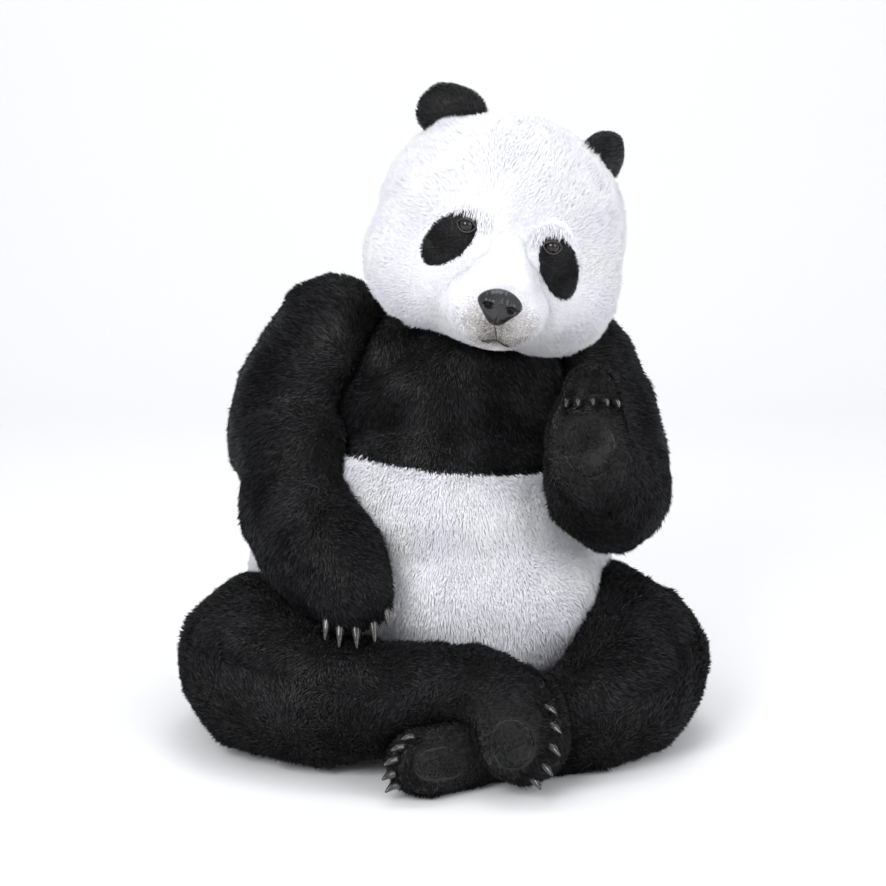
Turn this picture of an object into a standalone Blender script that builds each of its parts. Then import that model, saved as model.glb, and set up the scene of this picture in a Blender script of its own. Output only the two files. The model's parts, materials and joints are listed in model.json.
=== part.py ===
"""A large seated plush panda: stuffed fur bags on a jointed inner frame.

Metres, +Z up. The origin is on the floor, under the middle of the seat. The panda looks along -Y,
so its own right side is at -X. The head turns and tilts on a forked neck, and each arm turns on the
shoulder axle. The legs are sewn on, crossed in front of the belly.
"""

import math

import bmesh
import bpy
from mathutils import Matrix, Vector

# Driving dimensions.
COVER = 0.0040        # fur backing cloth, with its seam allowance
FIT = 0.0007          # gap between pieces that touch
SLACK = 0.0038        # between a cover and its stuffing
SEAT_T = 0.0040       # thickness of the seat panel, which lies on the floor
FLOOR_GAP = 0.0015    # how far everything else stays above the floor
YOKE_Z = 0.380        # height of the seam between the black chest and the white belly
SIDE_SEAM_Y = 0.075   # where the belly panel meets the back panel
ARM_GAP = 0.0100      # free space between a moving arm and the torso or a leg, which the pile fills
LEG_GAP = 0.0045      # a sewn leg against the torso or against the other leg
VOXEL = 0.0070        # cell in which the balls of a bag are joined

NECK = Vector((0.045, 0.030, 0.470))    # where the head's tilt and turn axes cross
DOME_R = 0.113                          # the torso's top, a ball about NECK
CUP_R = 0.117                           # the hollow under the head, about NECK
NECK_HOLE_R = 0.050
SHOULDER_Y, SHOULDER_Z = 0.045, 0.475   # the arms' axis, along X
STUB_R, STUB_ENDS = 0.006, {"right": -0.208, "left": 0.236}
NUT_R, NUT_T = 0.013, 0.006
DISC_R, DISC_T = 0.032, 0.006
DISC_X = {"right": -0.184, "left": 0.212}    # inner faces of the arm discs
ARM_SWINGS = {"right": (12, 26, 40), "left": (-20, -10, 6)}    # degrees up, which the bags leave free
HEAD_TILTS, HEAD_TURNS = (-16, -8, 4), (-25, -12, 12)
SWING_GAP = 0.005
RUNNING = 0.0004                        # radial clearance of a moving fit
TUBE_R = 0.0125

# Inner frame: seat board, spine, and the forked neck on it.
BOARD_TOP = 0.022
BOARD_AT, BOARD_HALF = (-0.020, 0.065, 0), (0.100, 0.088)
SPINE_FOOT = Vector((0.010, 0.060, BOARD_TOP))
SPINE_TOP = NECK - Vector((0, 0, 0.0335))
FLANGE_R, FLANGE_T, FOOT_R = 0.026, 0.006, 0.040
SPIGOT_R, SPIGOT_LENGTH = 0.0065, 0.026
SWIVEL_R, SWIVEL_T, THRUST_GAP = 0.023, 0.005, 0.0004
KNUCKLE_R, KNUCKLE_HALF = 0.011, 0.010
PIN_R, PIN_HALF = 0.005, 0.026
STEM_R = 0.010
FORK_HALF, FORK_LOW, FORK_HIGH = 0.012, 0.016, 0.034    # the fork's bridge, over the knuckle
FORK_EARS = (-0.0195, 0.0125)                           # where each ear of the fork starts, along Y
FORK_EAR_T = 0.007

HEAD_AT = Vector((0.078, -0.070, 0.705))
HEAD_YAW, HEAD_ROLL, HEAD_PITCH = (math.radians(angle) for angle in (2.5, 14.5, 8.0))
HEAD = (
    Matrix.Translation(HEAD_AT)
    @ Matrix.Rotation(HEAD_YAW, 4, "Z")
    @ Matrix.Rotation(HEAD_ROLL, 4, "Y")
    @ Matrix.Rotation(HEAD_PITCH, 4, "X")
)

# Soft bags as balls: centre, then the three radii, or one radius.
TORSO = [
    (-0.020, 0.060, 0.118, 0.235, 0.212, 0.134),
    (-0.020, 0.060, 0.185, 0.264, 0.234, 0.190),
    (0.020, -0.055, 0.170, 0.205, 0.172, 0.150),
    (0.000, 0.020, 0.305, 0.207, 0.207, 0.165),
    (0.012, 0.040, 0.425, 0.170, 0.152, 0.130),
    (-0.068, 0.052, 0.500, 0.080, 0.090, 0.078),
    (0.118, 0.052, 0.484, 0.078, 0.090, 0.076),
    (*NECK, DOME_R, DOME_R, DOME_R),
]
ARM_RIGHT = [
    (-0.157, 0.045, 0.545, 0.080), (-0.207, 0.050, 0.465, 0.084), (-0.224, 0.028, 0.392, 0.084),
    (-0.196, -0.042, 0.372, 0.082), (-0.200, -0.082, 0.320, 0.081), (-0.174, -0.158, 0.286, 0.076),
    (-0.142, -0.222, 0.262, 0.066), (-0.120, -0.264, 0.246, 0.051),
]
ARM_LEFT = [
    (0.196, 0.052, 0.500, 0.074), (0.220, 0.045, 0.435, 0.084), (0.240, 0.005, 0.360, 0.080),
    (0.236, -0.095, 0.342, 0.075), (0.214, -0.175, 0.362, 0.067), (0.200, -0.215, 0.405, 0.059),
    (0.194, -0.236, 0.458, 0.050), (0.196, -0.240, 0.520, 0.031),
]
LEG_RIGHT = [
    (-0.150, 0.060, 0.100, 0.085), (-0.235, 0.010, 0.108, 0.100), (-0.272, -0.105, 0.105, 0.098),
    (-0.247, -0.200, 0.102, 0.095), (-0.172, -0.256, 0.096, 0.085), (-0.095, -0.280, 0.102, 0.071),
    (-0.020, -0.286, 0.116, 0.056), (0.045, -0.300, 0.122, 0.050), (0.092, -0.336, 0.108, 0.055),
    (0.102, -0.360, 0.078, 0.059),
]
LEG_LEFT = [
    (0.135, 0.060, 0.098, 0.085), (0.232, 0.010, 0.106, 0.098), (0.276, -0.105, 0.104, 0.096),
    (0.258, -0.195, 0.088, 0.084), (0.210, -0.250, 0.074, 0.072), (0.145, -0.272, 0.058, 0.056),
    (0.075, -0.300, 0.046, 0.043), (0.015, -0.345, 0.044, 0.041), (-0.030, -0.372, 0.046, 0.042),
]
TAIL = [(-0.020, 0.285, 0.100, 0.050, 0.058, 0.042)]

# In the head's own frame, whose axes are X to the panda's left, -Y forward and Z up.
SKULL = [
    (0.0, 0.010, 0.012, 0.170, 0.155, 0.150),
    (-0.078, -0.022, -0.048, 0.098, 0.110, 0.092),
    (0.078, -0.022, -0.048, 0.098, 0.110, 0.092),
    (0.0, -0.060, -0.062, 0.090, 0.090, 0.078),
    (0.0, 0.068, -0.084, 0.114, 0.100, 0.092),
]
MUZZLE = [
    (0.009, -0.124, -0.064, 0.073, 0.072, 0.059),
    (0.010, -0.152, -0.072, 0.056, 0.056, 0.046),
    (0.007, -0.134, -0.032, 0.050, 0.052, 0.050),
    (0.003, -0.120, 0.010, 0.038, 0.038, 0.042),
]
NOSE = [
    (-0.007, -0.198, -0.040, 0.018, 0.018, 0.015),
    (0.019, -0.198, -0.040, 0.018, 0.018, 0.015),
    (0.006, -0.202, -0.049, 0.018, 0.018, 0.020),
]
EYE_AT, EYE_R = Vector((0.0585, -0.136, 0.034)), 0.0095
PATCH_AT, PATCH_TILT = Vector((0.075, -0.150, 0.008)), math.radians(-30.0)
PATCH_HALF = (0.0245, 0.046)
EAR_AT = {"right": Vector((-0.103, 0.042, 0.138)), "left": Vector((0.112, 0.040, 0.128))}
EAR_HALF = (0.051, 0.020, 0.043)
EAR_TURN = {"right": math.radians(8.0), "left": math.radians(52.0)}
SKULL_BLOCK = (0.070, 0.070, 0.050)

# Claws: 5 on each paw. Each paw has its middle, the way its claws point, and the way they spread.
CLAW_R, CLAW_LENGTH, CLAW_STEP = 0.0068, 0.026, math.radians(27.0)
CLAWS_PER_PAW = 5
PAWS = {
    "arm_right": ((-0.120, -0.264, 0.246), 0.051, (0.08, -0.66, -0.75), (0.98, 0.0, 0.20)),
    "arm_left": ((0.195, -0.240, 0.498), 0.040, (0.0, -0.95, 0.31), (1.0, 0.0, 0.0)),
    "leg_right": ((0.102, -0.360, 0.078), 0.059, (0.60, -0.80, 0.06), (0.20, 0.22, 0.95)),
    "leg_left": ((-0.030, -0.372, 0.046), 0.042, (-0.72, -0.62, 0.30), (0.29, 0.12, 0.95)),
}
# Pads: the middle of the pad, the way it faces, and its half width and half height.
PADS = {
    "arm_right": ((-0.132, -0.238, 0.245), (0.10, 0.42, -0.90), (0.028, 0.032)),
    "arm_left": ((0.197, -0.240, 0.446), (-0.12, -0.99, 0.05), (0.034, 0.040)),
    "leg_right": ((0.086, -0.360, 0.080), (0.05, -0.99, 0.10), (0.027, 0.031)),
    "leg_left": ((0.005, -0.360, 0.046), (-0.20, -0.96, 0.20), (0.030, 0.020)),
}
PAD_T = 0.0025

COLOURS = {
    "white_fur": (0.86, 0.86, 0.88), "black_fur": (0.012, 0.012, 0.014), "pad": (0.03, 0.03, 0.03),
    "stuffing": (0.80, 0.78, 0.72), "steel": (0.45, 0.46, 0.48), "wood": (0.62, 0.44, 0.26),
    "nose": (0.05, 0.05, 0.055), "eye": (0.02, 0.012, 0.01), "claw": (0.16, 0.14, 0.12),
    "base_cloth": (0.10, 0.10, 0.11),
}


def clear_scene():
    for obj in list(bpy.data.objects):
        bpy.data.objects.remove(obj, do_unlink=True)


def collection(name):
    made = bpy.data.collections.new(name)
    bpy.context.scene.collection.children.link(made)
    return made


def material(name):
    made = bpy.data.materials.get(name)
    if made is None:
        made = bpy.data.materials.new(name)
        made.use_nodes = True
        shader = made.node_tree.nodes["Principled BSDF"]
        shader.inputs["Base Color"].default_value = (*COLOURS[name], 1)
        shader.inputs["Roughness"].default_value = 0.35 if name in ("nose", "eye", "claw", "steel") else 0.9
        shader.inputs["Metallic"].default_value = 1.0 if name == "steel" else 0.0
    return made


def linked(name, mesh, group):
    obj = bpy.data.objects.new(name, mesh)
    group.objects.link(obj)
    return obj


def settled(obj):
    """The object with its modifiers worked into its mesh."""
    bpy.context.view_layer.update()
    graph = bpy.context.evaluated_depsgraph_get()
    mesh = bpy.data.meshes.new_from_object(obj.evaluated_get(graph))
    obj.modifiers.clear()
    obj.data = mesh
    return obj


def helper(name, mesh):
    """A cutter or a guide, which isn't part of the panda."""
    obj = linked(f"guide_{name}", mesh, cutters)
    obj.hide_render = True
    obj.display_type = "WIRE"
    return obj


def part(name, source, colour):
    """A finished piece from a helper's mesh."""
    obj = linked(name, source.data, panda)
    obj.matrix_world = source.matrix_world
    obj.data.materials.clear()
    obj.data.materials.append(material(colour))
    obj.data.shade_smooth()
    obj.data.set_sharp_from_angle(angle=math.radians(50))
    bpy.data.objects.remove(source)
    return obj


def from_bmesh(name, build):
    bm = bmesh.new()
    build(bm)
    bmesh.ops.recalc_face_normals(bm, faces=bm.faces)
    mesh = bpy.data.meshes.new(name)
    bm.to_mesh(mesh)
    bm.free()
    return helper(name, mesh)


def box(low, high):
    low, high = Vector(low), Vector(high)
    matrix = Matrix.Translation((low + high) / 2) @ Matrix.Diagonal((*(high - low), 1))
    return from_bmesh("box", lambda bm: bmesh.ops.create_cube(bm, size=1, matrix=matrix))


def rod(start, end, radius, segments=24, tip=None):
    """A round bar between two points, or a cone if it has a tip radius."""
    start, end = Vector(start), Vector(end)
    turn = (end - start).to_track_quat("Z", "Y").to_matrix().to_4x4()
    matrix = Matrix.Translation((start + end) / 2) @ turn
    return from_bmesh("rod", lambda bm: bmesh.ops.create_cone(
        bm, cap_ends=True, segments=segments, radius1=radius, radius2=radius if tip is None else tip,
        depth=(end - start).length, matrix=matrix))


def sphere(centre, radii, frame=Matrix.Identity(4), segments=32):
    matrix = frame @ Matrix.Translation(centre) @ Matrix.Diagonal((*radii, 1))
    return from_bmesh("ball", lambda bm: bmesh.ops.create_uvsphere(
        bm, u_segments=segments, v_segments=segments // 2, radius=1, matrix=matrix))


def combined(obj, other, operation):
    modifier = obj.modifiers.new(operation, "BOOLEAN")
    modifier.operation = operation
    modifier.object = other
    return settled(obj)


def cut(obj, *others):
    for other in others:
        combined(obj, other, "DIFFERENCE")
    return obj


def joined(obj, *others):
    for other in others:
        combined(obj, other, "UNION")
        bpy.data.objects.remove(other)
    return obj


def copied(obj):
    twin = helper("copy", obj.data.copy())
    twin.matrix_world = obj.matrix_world
    return twin


def grown(obj, distance):
    """A copy whose surface lies this far outside, or inside where it is negative."""
    twin = copied(obj)
    modifier = twin.modifiers.new("Grow", "DISPLACE")
    modifier.mid_level = 0
    modifier.strength = distance
    return settled(twin)


def evened(obj, smoothing, voxel=VOXEL):
    remesh = obj.modifiers.new("Remesh", "REMESH")
    remesh.mode = "VOXEL"
    remesh.voxel_size = voxel
    smooth = obj.modifiers.new("Smooth", "SMOOTH")
    smooth.factor = 0.5
    smooth.iterations = smoothing
    return settled(obj)


def thinned(obj, faces):
    modifier = obj.modifiers.new("Decimate", "DECIMATE")
    modifier.ratio = faces / (2 * len(obj.data.polygons))
    modifier.use_collapse_triangulate = True
    return settled(obj)


def between(balls):
    """The balls of a limb, with more of them in between, so that the bag is smooth."""
    found = []
    for first, last in zip(balls, balls[1:]):
        for step in range(4):
            found.append(tuple(a + (b - a) * step / 4 for a, b in zip(first, last)))
    return [(*ball[:3], ball[3], ball[3], ball[3]) for ball in found + [balls[-1]]]


def bag(name, balls, frame=Matrix.Identity(4), smoothing=8, voxel=VOXEL):
    """One closed, smooth surface around the balls."""
    def build(bm):
        for ball in balls:
            matrix = frame @ Matrix.Translation(ball[:3]) @ Matrix.Diagonal((*ball[3:], 1))
            bmesh.ops.create_uvsphere(bm, u_segments=32, v_segments=16, radius=1, matrix=matrix)

    obj = from_bmesh(name, build)
    return evened(obj, smoothing, voxel)


def shell(obj):
    """The fur backing: a skin of the bag, from its surface inwards."""
    skin = copied(obj)
    modifier = skin.modifiers.new("Solidify", "SOLIDIFY")
    modifier.thickness = COVER
    modifier.offset = -1
    return settled(skin)


def filling(obj):
    return grown(obj, -(COVER + SLACK))


def common(obj, other):
    return combined(obj, other, "INTERSECT")


def swung(torso, pivot, axis, angles):
    """The torso, turned about a joint's axis to each angle: what a bag that turns back must keep clear of."""
    near = grown(torso, SWING_GAP)
    place = Matrix.Translation(pivot)
    found = []
    for angle in angles:
        turned = copied(near)
        turned.data.transform(place @ Matrix.Rotation(math.radians(angle), 4, axis) @ place.inverted())
        found.append(turned)
    return found


def torso_parts():
    """The torso's bag, cut flat for the seat, in four panels around the stuffing."""
    whole = thinned(bag("torso", TORSO, smoothing=12), 620)
    flat_top = SEAT_T + FIT
    body = cut(copied(whole), box((-1, -1, -1), (1, 1, flat_top)))
    hole = rod(NECK, NECK + Vector((0, 0, 0.2)), NECK_HOLE_R)
    axis = rod((-0.3, SHOULDER_Y, SHOULDER_Z), (0.3, SHOULDER_Y, SHOULDER_Z), STUB_R + FIT)
    skin = cut(shell(whole), box((-1, -1, -1), (1, 1, flat_top)), hole, axis)
    panels = {
        "belly_panel": ((-1, -1, 0), (1, SIDE_SEAM_Y - FIT / 2, YOKE_Z - FIT / 2), "white_fur"),
        "back_panel": ((-1, SIDE_SEAM_Y + FIT / 2, 0), (1, 1, YOKE_Z - FIT / 2), "white_fur"),
        "chest_yoke": ((-1, -1, YOKE_Z + FIT / 2), (1, 1, 1), "black_fur"),
    }
    for name, (low, high, colour) in panels.items():
        part(name, common(copied(skin), box(low, high)), colour)
    part("seat_panel", common(copied(whole), box((-1, -1, 0), (1, 1, SEAT_T))), "base_cloth")
    stuffing = cut(filling(whole), box((-1, -1, -1), (1, 1, BOARD_TOP + FIT)))
    hollow = rod(NECK - Vector((0, 0, 0.034)), NECK + Vector((0, 0, 0.2)), NECK_HOLE_R)
    cut(stuffing, hollow, *frame_room())
    part("torso_stuffing", stuffing, "stuffing")
    return body


def tube(name, points, radius, tips=None, resolution=2):
    """A bar along a smooth line through the points, as a closed mesh."""
    curve = bpy.data.curves.new(name, "CURVE")
    curve.dimensions = "3D"
    curve.bevel_depth = radius
    curve.bevel_resolution = resolution
    curve.use_fill_caps = True
    spline = curve.splines.new("POLY")
    spline.points.add(len(points) - 1)
    for number, (target, point) in enumerate(zip(spline.points, points)):
        target.co = (*point, 1)
        target.radius = tips[number] if tips else 1
    guide = linked("guide_line", curve, cutters)
    graph = bpy.context.evaluated_depsgraph_get()
    mesh = bpy.data.meshes.new_from_object(guide.evaluated_get(graph))
    bpy.data.objects.remove(guide)

    def weld(bm):
        bm.from_mesh(mesh)
        bmesh.ops.remove_doubles(bm, verts=bm.verts, dist=1e-5)

    return from_bmesh(name, weld)


def spine_line():
    """From the seat board up to under the neck."""
    low = Vector((0.028, SHOULDER_Y, 0.330))
    return [SPINE_FOOT, SPINE_FOOT.lerp(low, 0.5), low, low.lerp(SPINE_TOP, 0.5), SPINE_TOP - Vector((0, 0, FLANGE_T / 2))]


def crossbar_line():
    """From one arm's stub to the other's, bent back around the hollow of the neck."""
    right, left = (Vector((STUB_ENDS[side], SHOULDER_Y, SHOULDER_Z)) for side in ("right", "left"))
    back = Vector((NECK.x, NECK.y + NECK_HOLE_R + 0.016, SHOULDER_Z - 0.020))
    half = Vector((0.075, -0.008, 0.006))
    inward = Vector((0.082, 0, 0))
    return [right, right + inward, back + half * Vector((-1, 1, 1)), back, back + half, left - inward, left]


def strut_line():
    """From the spine up to the middle of the crossbar."""
    return [spine_line()[2] + Vector((0, 0, 0.02)), crossbar_line()[3]]


def frame_room():
    """The space in the stuffing that the spine, its flanges and the crossbar take up."""
    spine = tube("room", spine_line(), TUBE_R + FIT)
    top = SPINE_TOP - Vector((0, 0, FLANGE_T + FIT))
    flange = rod(top, SPINE_TOP + Vector((0, 0, 0.01)), FLANGE_R + FIT)
    foot = rod(SPINE_FOOT - Vector((0, 0, 0.01)), SPINE_FOOT + Vector((0, 0, FLANGE_T + FIT)), FOOT_R + FIT)
    bars = [tube("room", line(), STUB_R + FIT) for line in (crossbar_line, strut_line)]
    return spine, flange, foot, *bars


def frame_parts():
    """Seat board, the welded spine and crossbar, and the nuts that hold the arms on it."""
    board = rod((0, 0, SEAT_T + 2 * FIT), (0, 0, BOARD_TOP), 1, segments=40)
    board.data.transform(Matrix.Translation(BOARD_AT) @ Matrix.Diagonal((*BOARD_HALF, 1, 1)))
    part("seat_board", board, "wood")

    spine = tube("spine", spine_line(), TUBE_R)
    flange = rod(SPINE_TOP - Vector((0, 0, FLANGE_T)), SPINE_TOP, FLANGE_R)
    foot_plate = rod(SPINE_FOOT + Vector((0, 0, FIT)), SPINE_FOOT + Vector((0, 0, FLANGE_T)), FOOT_R)
    bars = [tube("bar", line(), STUB_R) for line in (crossbar_line, strut_line)]
    joined(spine, flange, foot_plate, *bars)
    bore = rod(SPINE_TOP - Vector((0, 0, SPIGOT_LENGTH + 0.004)), SPINE_TOP + Vector((0, 0, 0.01)), SPIGOT_R + RUNNING)
    cut(spine, bore, box((-1, -1, -1), (1, 1, BOARD_TOP + FIT / 2)))
    part("spine_frame", spine, "steel")

    for side, way in (("right", -1), ("left", 1)):
        outer = Vector((STUB_ENDS[side] + way * 0.0005, SHOULDER_Y, SHOULDER_Z))
        across = Vector((way, 0, 0))
        nut = rod(outer - across * NUT_T, outer, NUT_R, segments=12)
        cut(nut, rod(outer - across, outer + across, STUB_R + 0.0003, segments=12))
        part(f"shoulder_nut_{side}", nut, "steel")


def neck_parts():
    """The swivel, which turns in the spine, and the pin on which the skull frame tilts."""
    seat = SPINE_TOP + Vector((0, 0, THRUST_GAP))
    swivel = rod(seat, seat + Vector((0, 0, SWIVEL_T)), SWIVEL_R)
    spigot = rod(seat - Vector((0, 0, SPIGOT_LENGTH)), seat + Vector((0, 0, SWIVEL_T / 2)), SPIGOT_R)
    width = Vector((KNUCKLE_R, KNUCKLE_HALF, 0))
    block = box(NECK - width - Vector((0, 0, 0.030)), NECK + width)
    along = Vector((0, KNUCKLE_HALF, 0))
    knuckle = rod(NECK - along, NECK + along, KNUCKLE_R)
    joined(swivel, spigot, block, knuckle)
    pin_way = Vector((0, PIN_HALF, 0))
    cut(swivel, rod(NECK - pin_way * 2, NECK + pin_way * 2, PIN_R + RUNNING))
    part("neck_swivel", swivel, "steel")
    part("tilt_pin", rod(NECK - pin_way, NECK + pin_way, PIN_R), "steel")


def neck_stem():
    """From the fork up to the middle of the skull block."""
    top = HEAD @ Vector((0, 0.015, 0.0))
    return [NECK + Vector((0, 0, 0.030)), NECK.lerp(top, 0.45), top]


def skull_frame():
    """The fork over the knuckle, its stem, and the block that the head's stuffing is packed round."""
    stem = tube("skull_frame", neck_stem(), STEM_R)
    reach = Vector((FORK_HALF, 0.020, 0))
    bridge = box(NECK - reach + Vector((0, 0, FORK_LOW)), NECK + reach + Vector((0, 0, FORK_HIGH)))
    ears = [
        box(NECK + Vector((-KNUCKLE_R, low, -0.010)), NECK + Vector((KNUCKLE_R, low + FORK_EAR_T, 0.020)))
        for low in FORK_EARS
    ]
    plate = box([-half / 2 for half in SKULL_BLOCK], [half / 2 for half in SKULL_BLOCK])
    plate.data.transform(HEAD)
    joined(stem, bridge, *ears, plate)
    cut(stem, rod(NECK - Vector((0, 0.1, 0)), NECK + Vector((0, 0.1, 0)), PIN_R + 0.0003))
    part("skull_frame", stem, "steel")


def head_parts(torso):
    """The head's bag with its cup over the neck, and the face and the ears on it."""
    whole = bag("head", SKULL, HEAD, smoothing=10)
    tilts = swung(torso, NECK, "Y", [-angle for angle in HEAD_TILTS])
    turns = swung(torso, NECK, "Z", [-angle for angle in HEAD_TURNS])
    cut(whole, sphere(NECK, (CUP_R,) * 3), grown(torso, SWING_GAP), *tilts, *turns)
    thinned(largest(evened(whole, 3)), 600)
    up = (HEAD_AT - NECK).normalized()
    hole = rod(NECK, NECK + up * 0.16, NECK_HOLE_R)
    part("head_cover", cut(shell(whole), hole), "white_fur")

    room = tube("stem_room", neck_stem(), STEM_R + FIT)
    block = [half / 2 + FIT for half in SKULL_BLOCK]
    plate = box([-half for half in block], block)
    plate.data.transform(HEAD)
    mouth = rod(NECK, NECK + up * 0.135, NECK_HOLE_R)
    part("head_stuffing", cut(filling(whole), mouth, joined(room, plate)), "stuffing")

    snout = thinned(bag("muzzle", MUZZLE, HEAD, smoothing=5, voxel=0.005), 320)
    near = grown(whole, FIT)
    part("muzzle", cut(copied(snout), near, whole), "white_fur")
    nose = thinned(bag("nose", NOSE, HEAD, smoothing=4, voxel=0.0025), 160)
    part("nose", cut(nose, grown(snout, FIT), near), "nose")

    far = grown(whole, FIT + PAD_T)
    eye_clear = grown(whole, FIT)
    for side, sign in (("right", -1), ("left", 1)):
        flip = Matrix.Diagonal((sign, 1, 1, 1))
        centre = flip @ EYE_AT
        ball = sphere(centre, (EYE_R,) * 3, HEAD, 12)
        room = sphere(centre, (EYE_R + FIT,) * 3, HEAD, 12)
        patch = patch_on(HEAD @ flip, PATCH_AT, PATCH_TILT, PATCH_HALF, near, far)
        part(f"eye_patch_{side}", cut(patch, grown(snout, FIT), room), "black_fur")
        part(f"eye_{side}", cut(ball, eye_clear), "eye")
        turn = Matrix.Rotation(sign * EAR_TURN[side], 4, "Z")
        place = HEAD @ Matrix.Translation(EAR_AT[side]) @ turn
        ear = thinned(bag(f"ear_{side}", [(0, 0, 0, *EAR_HALF)], place, 2, 0.005), 180)
        part(f"ear_{side}", cut(ear, near), "black_fur")
    return whole


def patch_on(frame, centre, tilt, half, near, far):
    """A thin oval of cloth that lies on the head around the eye."""
    turn = Matrix.Rotation(tilt, 4, "Y")
    tall = Matrix.Diagonal((half[0], 1, half[1], 1))
    column = from_bmesh("patch", lambda bm: bmesh.ops.create_cone(
        bm, cap_ends=True, segments=20, radius1=1, radius2=1, depth=0.2,
        matrix=Matrix.Rotation(math.pi / 2, 4, "X")))
    column.data.transform(Matrix.Translation(centre) @ turn @ tall)
    column.data.transform(frame)
    if frame.determinant() < 0:
        column.data.flip_normals()
    front = box((-1, -1, -1), (1, HEAD_AT.y - 0.02, 2))
    return cut(common(common(column, front), far), near)


def pad_on(whole, centre, facing, half):
    """A pad of short cloth sewn on a paw."""
    centre, facing = Vector(centre), Vector(facing).normalized()
    turn = facing.to_track_quat("Z", "Y").to_matrix().to_4x4()
    wide = Matrix.Translation(centre + facing * 0.05) @ turn @ Matrix.Diagonal((*half, 1, 1))
    column = from_bmesh("pad", lambda bm: bmesh.ops.create_cone(
        bm, cap_ends=True, segments=20, radius1=1, radius2=1, depth=0.1, matrix=wide))
    return cut(common(column, grown(whole, FIT + PAD_T)), grown(whole, FIT))


def claw_shape(base, forward, down):
    """A short horn that bends down towards its tip."""
    bend = [0.0, 0.30, 0.62, 1.0]
    points = [base + forward * CLAW_LENGTH * t + down * CLAW_LENGTH * 0.35 * t * t for t in bend]
    return tube("claw", points, CLAW_R, tips=(1.0, 0.92, 0.62, 0.14), resolution=1)


def claws_on(paw, whole, down):
    centre, radius, forward, spread = PAWS[paw]
    centre, forward, spread = Vector(centre), Vector(forward).normalized(), Vector(spread).normalized()
    near = grown(whole, FIT)
    for number in range(CLAWS_PER_PAW):
        angle = (number - (CLAWS_PER_PAW - 1) / 2) * CLAW_STEP
        way = (forward * math.cos(angle) + spread * math.sin(angle)).normalized()
        aim = (forward * 0.75 + way * 0.25).normalized()
        claw = claw_shape(centre + way * (radius - 0.004), aim, down)
        part(f"claw_{paw}_{number + 1}", cut(claw, near), "claw")


def largest(obj):
    """The biggest connected part of the mesh: what a cut leaves behind the torso is dropped."""
    bm = bmesh.new()
    bm.from_mesh(obj.data)
    left, islands = set(bm.verts), []
    while left:
        island, edge = set(), [left.pop()]
        while edge:
            vertex = edge.pop()
            island.add(vertex)
            near = {other.other_vert(vertex) for other in vertex.link_edges} & left
            left -= near
            edge.extend(near)
        islands.append(island)
    islands.sort(key=len)
    for island in islands[:-1]:
        bmesh.ops.delete(bm, geom=list(island), context="VERTS")
    bm.to_mesh(obj.data)
    bm.free()
    return obj


def limb(name, balls, keep_off, faces):
    """A limb's closed bag, pressed against what it lies on."""
    whole = bag(name, between(balls), smoothing=6)
    cut(whole, *keep_off)
    return thinned(largest(evened(whole, 12)), faces)


def arm_parts(side, balls, torso):
    way = -1 if side == "right" else 1
    name = f"arm_{side}"
    swings = swung(torso, (0, SHOULDER_Y, SHOULDER_Z), "X", ARM_SWINGS[side])
    whole = limb(name, balls, [grown(torso, ARM_GAP), *swings], 460)
    middle = Vector((DISC_X[side], SHOULDER_Y, SHOULDER_Z))
    across = Vector((way, 0, 0))
    hole = rod(middle - across * 0.2, middle, STUB_R + 2 * RUNNING + FIT)
    part(f"{name}_cover", cut(shell(whole), hole), "black_fur")
    disc_room = rod(middle - across * FIT, middle + across * (DISC_T + FIT), DISC_R + FIT)
    end = STUB_ENDS[side] + way * 3 * FIT
    nut_room = rod(middle, (end, SHOULDER_Y, SHOULDER_Z), NUT_R + 2 * FIT)
    stuffing = cut(filling(whole), hole, joined(disc_room, nut_room))
    part(f"{name}_stuffing", stuffing, "stuffing")
    disc = rod(middle, middle + across * DISC_T, DISC_R)
    cut(disc, rod(middle - across, middle + across, STUB_R + RUNNING))
    part(f"{name}_disc", disc, "wood")
    part(f"{name}_palm_pad", pad_on(whole, *PADS[name]), "pad")
    claws_on(name, whole, Vector((0, -0.5, -0.85)) if side == "left" else Vector((0, -0.2, -0.98)))
    return whole


def leg_parts(side, whole):
    name = f"leg_{side}"
    centre = Vector((LEG_RIGHT if side == "right" else LEG_LEFT)[2][:3])
    hole = rod(centre, centre + Vector((-0.3 if centre.x > 0 else 0.3, 0, 0)), 0.010)
    part(f"{name}_cover", cut(shell(whole), hole), "black_fur")
    part(f"{name}_stuffing", filling(whole), "stuffing")
    part(f"{name}_sole_pad", pad_on(whole, *PADS[name]), "pad")
    claws_on(name, whole, Vector((0, 0, -1)))


clear_scene()
panda = collection("panda")
cutters = collection("cutters")
torso_body = torso_parts()
frame_parts()
neck_parts()
skull_frame()
head_parts(torso_body)
right_arm = arm_parts("right", ARM_RIGHT, torso_body)
left_arm = arm_parts("left", ARM_LEFT, torso_body)
arms_near = [grown(right_arm, ARM_GAP), grown(left_arm, ARM_GAP)]
torso_near = grown(torso_body, LEG_GAP)
floor_room = box((-1, -1, -1), (1, 1, FLOOR_GAP))
left_leg = limb("leg_left", LEG_LEFT, [torso_near, floor_room, *arms_near], 460)
right_leg = limb("leg_right", LEG_RIGHT, [torso_near, floor_room, *arms_near, grown(left_leg, 2 * LEG_GAP)], 460)
leg_parts("right", right_leg)
leg_parts("left", left_leg)
part("tail", cut(thinned(bag("tail", TAIL, smoothing=3), 130), grown(torso_body, FIT)), "white_fur")
for guide in list(cutters.objects):
    bpy.data.objects.remove(guide)
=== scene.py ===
"""Looks of a large seated plush panda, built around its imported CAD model.

Metres, +Z up, the panda looking along -Y. Every soft piece grows out of the CAD piece that it stands for:
a smooth skin is drawn round the cover and its stuffing, and the pile is planted on that skin.
"""

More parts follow.
